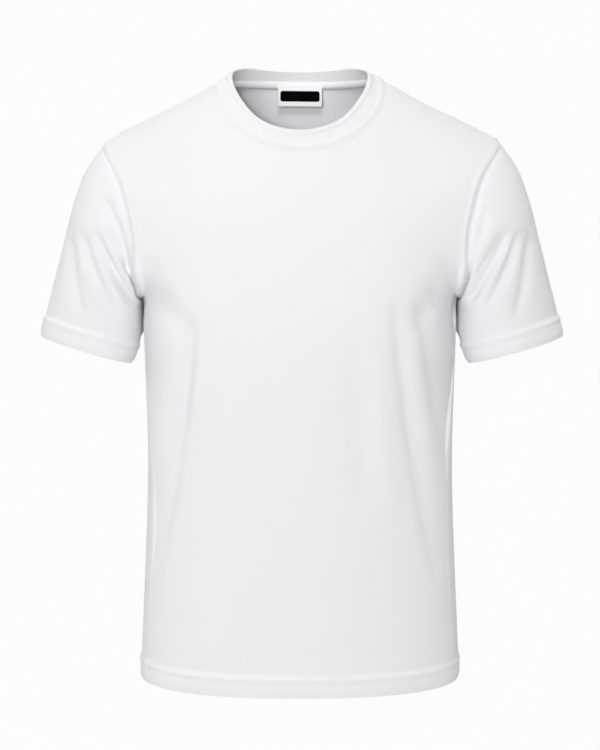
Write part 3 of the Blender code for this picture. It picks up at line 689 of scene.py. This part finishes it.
frontPiece = makeJersey("frontJersey", frontCloth, frontGrid, False)
backPiece = makeJersey("backJersey", backCloth, backGrid, False)
leftPiece = makeJersey("leftSleeveJersey", leftCloth, leftGrid, True)
rightPiece = makeJersey("rightSleeveJersey", rightCloth, rightGrid, True)
bandPiece = makeSheet("neckbandRib", bandFolded, clothUv(bandFolded), None, True)


# Tape and label inside the back neck.
neckTape = {
    "rise": 2, "drop": 8, "wall": 0.9, "clear": 0.3, "bulge": 2.3, "rows": 15,
    "turn": 3,  # distance from the seam over which its face turns from the panel's to the band's
    "panelRow": 8, "bandRow": 4,  # rows past the seam where those faces are taken
}


def tapeGrid():
    # a rounded strip over the neck seam, from just above it to below it
    first = frontGrid.shape[1]
    ring = slice(first, first + backGrid.shape[1] - 2)
    down = np.linalg.norm(backGrid[:, 1:-1] - backGrid[-1, 1:-1], axis=-1)
    bandNormals = gridNormals(bandFlat, True)[0, ring]
    backNormals = gridNormals(backGrid)[:, 1:-1]
    upward = unit(bandFlat[neckTape["bandRow"], ring] - backGrid[-1, 1:-1])
    panelNormals, turn = backNormals[-neckTape["panelRow"]], neckTape["turn"]
    rise, drop = neckTape["rise"], neckTape["drop"]
    rows = []
    for part in np.linspace(-1, 1, neckTape["rows"]):
        place = (rise - drop + part * (rise + drop)) / 2
        points = backGrid[-1, 1:-1] + upward * place
        if place < 0:
            hanging = (down < -place).sum(axis=0)
            columns = np.arange(len(hanging))
            low, high = down[-hanging - 1, columns], down[-hanging, columns]
            share = ((-place - high) / (low - high))[:, None]
            lower, upper = backGrid[-hanging - 1, columns + 1], backGrid[-hanging, columns + 1]
            points = lower * share + upper * (1 - share)
        lift = neckband["wall"] + neckTape["clear"] + neckTape["bulge"] * (1 - part**2)
        blend = ease((place + turn) / (2 * turn))
        rows.append(points - unit(panelNormals * (1 - blend) + bandNormals * blend) * lift)
    return np.array(rows)


print("tape and label")
tapeFlat = tapeGrid()
tapePiece = makeSheet("neckTapeJersey", tapeFlat, clothUv(tapeFlat), neckTape["wall"])

label = {
    "width": 53, "height": 26, "wall": 0.6, "columns": 57, "rows": 27,
    "fromRow": 3,  # rows of the tape past its middle where it is sewn on
    "clear": 0.7,
    "lean": 0.08,  # how far its foot swings back, as a share of its height
    "bulge": 0.5,
    "cornerCurl": 1.6,
    "cornerShare": (1 / 8, 1 / 3),  # shares of its width and height over which a corner curls
}


def labelGrid():
    # hangs almost upright from the crest of the tape, clear of the back panel
    across = np.linspace(label["width"] / 2, -label["width"] / 2, label["columns"])
    crest = tapeFlat[neckTape["rows"] // 2 + label["fromRow"]]
    top = np.stack([across] + [np.interp(-across, -crest[:, 0], crest[:, i]) for i in (1, 2)], axis=-1)
    top[:, 1] -= neckTape["wall"] + label["clear"]
    hang = np.array([0, label["lean"], -1]) / np.hypot(label["lean"], 1) * label["height"]
    part = np.linspace(1, 0, label["rows"])[:, None, None]
    wide, high = label["cornerShare"]
    corner = ease((np.abs(across) / label["width"] - 0.5) / wide + 1) * ease((part[..., 0] - 1) / high + 1)
    grid = top + hang * part
    grid[..., 1] += label["cornerCurl"] * corner - label["bulge"] * np.sin(np.pi * part[..., 0])
    return grid


labelFlat = labelGrid()
labelUv = np.stack(np.meshgrid(*(np.linspace(0, 1, label[way]) for way in ("columns", "rows"))), axis=-1)
labelPiece = makeSheet("wovenLabel", labelFlat, labelUv, label["wall"])


# Stitches of the hem and the cuffs.
def alongLine(points, normals):
    # middle, direction and outward side of each stitch on a line of points
    along = runningLength(points)
    count = int(along[-1] / sewing["stitchPitch"])
    at = (np.arange(count) + 0.5) * along[-1] / count
    place, ahead, outward = (
        np.stack([np.interp(spot, along, values[:, i]) for i in range(3)], axis=1)
        for spot, values in ((at, points), (at + sewing["stitchAhead"], points), (at, normals))
    )
    tangent = unit(ahead - place)
    return place, tangent, unit(outward - tangent * (outward * tangent).sum(axis=1, keepdims=True))


def sewStitches(name, lines):
    # One small rounded stitch, copied along every line. An open fault: the copies' corners don't lie one copy
    # after the other, so neighbouring stitches hang together.
    place, tangent, outward = (np.concatenate(parts) for parts in zip(*(alongLine(*line) for line in lines)))
    bm = bmesh.new()
    around, high = sewing["stitchFaces"]
    bmesh.ops.create_uvsphere(bm, u_segments=around, v_segments=high, radius=0.5)
    corners = len(bm.verts)
    while len(bm.verts) < corners * len(place):
        bmesh.ops.duplicate(bm, geom=bm.verts[:] + bm.edges[:] + bm.faces[:])
    bm.verts.ensure_lookup_table()
    bmesh.ops.delete(bm, geom=bm.verts[corners * len(place) :], context="VERTS")
    mesh = meshFrom(bm, name)
    ball = vertexSpots(mesh).reshape(len(place), corners, 3) * sewing["stitch"]
    axes = (tangent, np.cross(outward, tangent), outward)
    spots = place[:, None] + sum(ball[..., i, None] * axis[:, None] for i, axis in enumerate(axes))
    mesh.vertices.foreach_set("co", (spots * mm).ravel())
    mesh.shade_smooth()
    return newObject(name, mesh)


def hemLines(cloth, laid, isSleeve):
    # the rows of the cloth that lie on the lines of stitching, with their normals
    distances = rowDistance(laid, isSleeve).mean(axis=1)
    normals = gridNormals(cloth, isSleeve)
    rows = [np.abs(distances - line).argmin() for line in sewing["hemLines"]]
    return [(cloth[row], normals[row]) for row in rows]


print("sewing the hems")
bottomLines = hemLines(frontCloth, frontGrid, False) + hemLines(backCloth, backGrid, False)
bodyStitches = sewStitches("bottomHemStitches", bottomLines)
leftStitches = sewStitches("leftCuffStitches", hemLines(leftCloth, leftGrid, True))
rightStitches = sewStitches("rightCuffStitches", hemLines(rightCloth, rightGrid, True))


def feed(tree, socket, value):
    # a socket takes another node's output, or a value; a colour's value has three numbers
    if isinstance(value, bpy.types.NodeSocket):
        tree.links.new(value, socket)
    elif value is not None:
        socket.default_value = (*value, 1) if socket.type == "RGBA" else value


def addNode(tree, kind, inputs=(), **settings):
    node = tree.nodes.new(kind)
    for name, value in settings.items():
        setattr(node, name, value)
    for key, value in dict(inputs).items():
        feed(tree, node.inputs[key], value)
    return node


def mathNode(tree, operation, *values):
    return addNode(tree, "ShaderNodeMath", enumerate(values), operation=operation).outputs[0]


def waveNode(tree, place, perUnit):
    return mathNode(tree, "SINE", mathNode(tree, "MULTIPLY", place, 2 * np.pi * perUnit))


def newGroup(name, inputs, outputs):
    # inputs with a value are numbers, and the others are places
    group = bpy.data.node_groups.new(name, "ShaderNodeTree")
    for title, value in inputs.items():
        kind = "NodeSocketVector" if value is None else "NodeSocketFloat"
        socket = group.interface.new_socket(title, in_out="INPUT", socket_type=kind)
        if value is not None:
            socket.default_value = value
    for title in outputs:
        group.interface.new_socket(title, in_out="OUTPUT", socket_type="NodeSocketFloat")
    return group, addNode(group, "NodeGroupInput").outputs, addNode(group, "NodeGroupOutput").inputs


def jerseyKnitGroup(legSlant=1.3):
    # V-shaped knit stitches: wales run along the cloth and courses across it
    inputs = {"Cloth": None, "Wales": 1150, "Courses": 1500}
    group, given, result = newGroup("jerseyKnit", inputs, ["Height", "Gap"])
    split = addNode(group, "ShaderNodeSeparateXYZ", {0: given["Cloth"]}).outputs
    wale = mathNode(group, "MULTIPLY", split[0], given["Wales"])
    course = mathNode(group, "MULTIPLY", split[1], given["Courses"])
    offWale = mathNode(group, "ABSOLUTE", mathNode(group, "SUBTRACT", mathNode(group, "FRACT", wale), 0.5))
    leg = waveNode(group, mathNode(group, "MULTIPLY_ADD", offWale, legSlant, course), 1)
    crown = waveNode(group, offWale, 1)
    height = mathNode(group, "MULTIPLY", mathNode(group, "MULTIPLY_ADD", leg, 0.5, 0.5), crown)
    feed(group, result["Height"], height)
    feed(group, result["Gap"], mathNode(group, "SUBTRACT", 1, height))
    return group


def clothUnevenGroup():
    # soft unevenness of the cloth and fine fluff, over the whole piece
    inputs = {"Place": None, "Swell": 26, "Fluff": 900}
    group, given, result = newGroup("clothUneven", inputs, ["Height", "Fine"])
    for scale, detail, title in (("Swell", 2, "Height"), ("Fluff", 1, "Fine")):
        sockets = {"Vector": given["Place"], "Scale": given[scale], "Detail": detail}
        noise = addNode(group, "ShaderNodeTexNoise", sockets, noise_dimensions="3D")
        feed(group, result[title], noise.outputs["Fac"])
    return group


knitGroup = jerseyKnitGroup()
unevenGroup = clothUnevenGroup()


def newFinish(name, look):
    material = bpy.data.materials.new(name)
    material.use_nodes = True
    tree = material.node_tree
    shader = tree.nodes["Principled BSDF"].inputs
    names = ("Base Color", "Roughness", "Specular IOR Level", "Sheen Weight")
    for name, key in zip(names, ("colour", "roughness", "specular", "sheen")):
        feed(tree, shader[name], look.get(key))
    return material, tree, shader


def addBump(tree, height, bump, before=None):
    # bump is strength and distance in metres
    strength, distance = bump
    sockets = {"Height": height, "Strength": strength, "Distance": distance, "Normal": before}
    return addNode(tree, "ShaderNodeBump", sockets).outputs["Normal"]


def mixColour(tree, mask, low, high):
    sockets = {"Factor": mask, "A": low, "B": high}
    return addNode(tree, "ShaderNodeMix", sockets, data_type="RGBA").outputs["Result"]


def clothPlace(tree):
    return addNode(tree, "ShaderNodeUVMap", uv_map="cloth").outputs["UV"]


def placeGroup(tree, group, sockets):
    return addNode(tree, "ShaderNodeGroup", sockets, node_tree=group).outputs


def jerseyFinish(name, look):
    material, tree, shader = newFinish(name, look)
    cloth = clothPlace(tree)
    place = addNode(tree, "ShaderNodeTexCoord").outputs["Object"]
    knit = placeGroup(tree, knitGroup, {"Cloth": cloth, "Wales": look["wales"], "Courses": look["courses"]})
    uneven = placeGroup(tree, unevenGroup, {"Place": place})
    broad = addBump(tree, uneven["Height"], look["swellBump"])
    feed(tree, shader["Normal"], addBump(tree, knit["Height"], look["knitBump"], broad))
    # painted shade: the gaps between the knit stitches are made darker, and the fluff darkens the colour at
    # random, towards the deep colour
    gap = mathNode(tree, "MULTIPLY", knit["Gap"], look["gapShade"])
    shade = mathNode(tree, "MULTIPLY_ADD", uneven["Fine"], look["fluffShade"], gap)
    # painted highlight on the raised bands of the hem and cuffs, mixed towards the raised colour
    paintedHighlight = addNode(tree, "ShaderNodeAttribute", attribute_name="hemPaintedHighlight").outputs["Fac"]
    base = mixColour(tree, shade, look["light"], look["deep"])
    feed(tree, shader["Base Color"], mixColour(tree, paintedHighlight, base, look["raised"]))
    return material


jerseyLook = {
    # raised is the colour of the painted highlight on the raised bands of the hem and cuffs
    "light": (0.905, 0.905, 0.925), "deep": (0.86, 0.86, 0.885), "raised": (0.95, 0.95, 0.965),
    "roughness": 0.92, "specular": 0.25, "sheen": 0.15,
    "wales": 1150, "courses": 1500, "knitBump": (0.25, 0.0003), "gapShade": 0.5,
    "swellBump": (0.12, 0.004), "fluffShade": 0.3,
}
tapeLook = dict(jerseyLook, light=(0.95, 0.95, 0.965), deep=(0.92, 0.92, 0.94), wales=900, courses=1250)


def ribFinish(name, look):
    # fine ribs run from the seam to the fold
    material, tree, shader = newFinish(name, look)
    cloth = clothPlace(tree)
    split = addNode(tree, "ShaderNodeSeparateXYZ", {0: cloth}).outputs
    rib = mathNode(tree, "MULTIPLY_ADD", waveNode(tree, split[0], look["ribs"]), 0.5, 0.5)
    inputs = {"Cloth": cloth, "Wales": look["ribs"] * 2, "Courses": look["courses"]}
    knit = placeGroup(tree, knitGroup, inputs)
    ribs = addBump(tree, rib, look["ribBump"])
    feed(tree, shader["Normal"], addBump(tree, knit["Height"], look["knitBump"], ribs))
    # painted shade: the grooves between the ribs are made darker, towards the deep colour
    groove = mathNode(tree, "SUBTRACT", 1, rib)
    feed(tree, shader["Base Color"], mixColour(tree, groove, look["light"], look["deep"]))
    return material


ribLook = {
    "light": (0.915, 0.915, 0.93), "deep": (0.875, 0.875, 0.895),
    "roughness": 0.9, "specular": 0.25, "sheen": 0.15,
    "ribs": 650, "ribBump": (0.3, 0.0004), "courses": 1500, "knitBump": (0.2, 0.0003),
}


def smoothStep(tree, value, start, end):
    sockets = {"Value": value, "From Min": start, "From Max": end}
    return addNode(tree, "ShaderNodeMapRange", sockets, interpolation_type="SMOOTHSTEP").outputs[0]


def labelFinish(name, look):
    # woven satin: white ground with a plain dark band across the middle
    material, tree, shader = newFinish(name, look)
    cloth = clothPlace(tree)
    split = addNode(tree, "ShaderNodeSeparateXYZ", {0: cloth}).outputs
    # wide soft edges multiplied, then sharpened again, round the corners of the band
    masks = []
    for place, (low, high), soft in zip(split, (look["bandAcross"], look["bandDown"]), look["bandSoft"]):
        start = smoothStep(tree, place, low - soft, low + soft)
        end = smoothStep(tree, place, high + soft, high - soft)
        masks.append(mathNode(tree, "MULTIPLY", start, end))
    band = smoothStep(tree, mathNode(tree, "MULTIPLY", *masks), *look["bandSharp"])
    warp, threads = waveNode(tree, split[0], look["warp"]), waveNode(tree, split[1], look["threads"])
    weave = mathNode(tree, "MULTIPLY_ADD", warp, look["warpRise"], 0.5)
    weave = mathNode(tree, "MULTIPLY_ADD", threads, look["threadRise"], weave)
    feed(tree, shader["Normal"], addBump(tree, weave, look["weaveBump"]))
    feed(tree, shader["Base Color"], mixColour(tree, band, look["ground"], look["band"]))
    return material


labelLook = {
    "ground": (0.94, 0.94, 0.95), "band": (0.003, 0.003, 0.004),
    "roughness": 0.5, "specular": 0, "sheen": 0,
    "bandAcross": (0.05, 0.95), "bandDown": (0.225, 0.715),
    "bandSoft": (0.055, 0.12), "bandSharp": (0.4, 0.6),
    "threads": 90, "threadRise": 0.35, "warp": 160, "warpRise": 0.15, "weaveBump": (0.3, 0.0002),
}
threadLook = {"colour": (0.9, 0.9, 0.92), "roughness": 0.55, "specular": 0.25, "sheen": 0.1}

print("finishes")
jersey = jerseyFinish("whiteJersey", jerseyLook)
tapeCloth = jerseyFinish("tapeJersey", tapeLook)
rib = ribFinish("whiteRib", ribLook)
labelWeave = labelFinish("labelWeave", labelLook)
thread, _, _ = newFinish("sewingThread", threadLook)

pieces = [
    (frontPiece, "front", "jersey", jersey),
    (backPiece, "back", "jersey", jersey),
    (leftPiece, "sleeve_left", "jersey", jersey),
    (rightPiece, "sleeve_right", "jersey", jersey),
    (bandPiece, "neckband", "rib", rib),
    (tapePiece, "neck_tape", "tape", tapeCloth),
    (labelPiece, "label", "label", labelWeave),
    (bodyStitches, None, "jersey", thread),
    (leftStitches, None, "jersey", thread),
    (rightStitches, None, "jersey", thread),
]
for piece, node, slot, finish in pieces:
    piece.data.materials.append(finish)
    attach(piece, "root")
    if node:
        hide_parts(node)


# Room, light and camera.
studio = {
    "floorHeight": -1.15,
    "floorSize": 8,
    "floor": {"colour": (0.9, 0.9, 0.905), "roughness": 0.9, "specular": 0.25, "sheen": 0},
    "world": (0.973, 0.973, 0.98),
    "worldLight": 0.02,
    "middle": (0, 0, -0.35),
    "lights": [
        # name, degrees to the right of the front, degrees up, distance, width, watts
        ("closeLight", -3, 3, 3.2, 0.15, 18),
        ("frontLight", 0, 30, 2.25, 0.6, 15),
        ("keyLight", -13, 8, 3.2, 0.7, 16.5),
        ("topLight", 0, 85, 3.2, 1.6, 42),
        ("leftSide", -88, 18, 3.2, 1.6, 16),
        ("rightSide", 88, 18, 3.2, 1.6, 10),
        ("leftRim", -110, 20, 3.2, 1.6, 18.5),
        ("rightRim", 110, 20, 3.2, 1.6, 20),
        ("backLight", 180, 30, 3.2, 1.6, 34),
    ],
    # a narrow lamp for the inside of the neck
    "neckSpot": {
        "place": (-6, 3, 3.2), "aim": (0, 0.05, 0.034),
        "cone": 3.4, "softEdge": 1, "radius": 0.03, "watts": 122,
    },
    "cameraPlace": (0, -2.6, -0.17),
    "lookAt": (0, 0, -0.351),
    "lens": 105.1,
}


def shownPlain(tree, shaded, plain, output):
    # the camera sees the plain one, and light meets the shaded one
    rays = addNode(tree, "ShaderNodeLightPath").outputs["Is Camera Ray"]
    mix = addNode(tree, "ShaderNodeMixShader", {0: rays, 1: shaded.outputs[0], 2: plain.outputs[0]})
    feed(tree, tree.nodes[output].inputs["Surface"], mix.outputs[0])


def hangLamp(name, kind, watts, place, aim, **settings):
    lamp = newObject(name, bpy.data.lights.new(name, kind))
    lamp.data.energy = watts
    for key, value in settings.items():
        setattr(lamp.data, key, value)
    aside, up, distance = place
    turn = Matrix.Rotation(np.radians(aside), 3, "Z") @ Matrix.Rotation(np.radians(-up), 3, "X")
    towards = turn @ Vector((0, -distance, 0))
    lamp.location = Vector(aim) + towards
    lamp.rotation_euler = (-towards).to_track_quat("-Z", "Y").to_euler()


print("room, light and camera")
bm = bmesh.new()
down = Matrix.Translation((0, 0, studio["floorHeight"]))
bmesh.ops.create_grid(bm, x_segments=2, y_segments=2, size=studio["floorSize"], matrix=down)
floor = newObject("studioFloor", meshFrom(bm, "studioFloor"))
floorFinish, floorTree, _ = newFinish("paleFloor", studio["floor"])
glow = addNode(floorTree, "ShaderNodeEmission", {"Color": studio["world"]})
shownPlain(floorTree, floorTree.nodes["Principled BSDF"], glow, "Material Output")
floor.data.materials.append(floorFinish)

world = bpy.data.worlds.new("studio")
scene.world = world
world.use_nodes = True
skyTree = world.node_tree
sky = skyTree.nodes["Background"]
feed(skyTree, sky.inputs["Color"], studio["world"])
feed(skyTree, sky.inputs["Strength"], studio["worldLight"])
seen = addNode(skyTree, "ShaderNodeBackground", {"Color": studio["world"]})
shownPlain(skyTree, sky, seen, "World Output")

for name, *place, width, watts in studio["lights"]:
    hangLamp(name, "AREA", watts, place, studio["middle"], shape="DISK", size=width)
spot = studio["neckSpot"]
hangLamp(
    "neckSpot", "SPOT", spot["watts"], spot["place"], spot["aim"],
    spot_size=np.radians(spot["cone"]), spot_blend=spot["softEdge"], shadow_soft_size=spot["radius"],
)

cameraData = bpy.data.cameras.new("camera")
cameraData.lens = studio["lens"]
camera = newObject("camera", cameraData)
camera.location = studio["cameraPlace"]
ahead = Vector(studio["lookAt"]) - camera.location
camera.rotation_euler = ahead.to_track_quat("-Z", "Y").to_euler()
scene.camera = camera
scene.view_settings.view_transform = "Standard"

print("done")
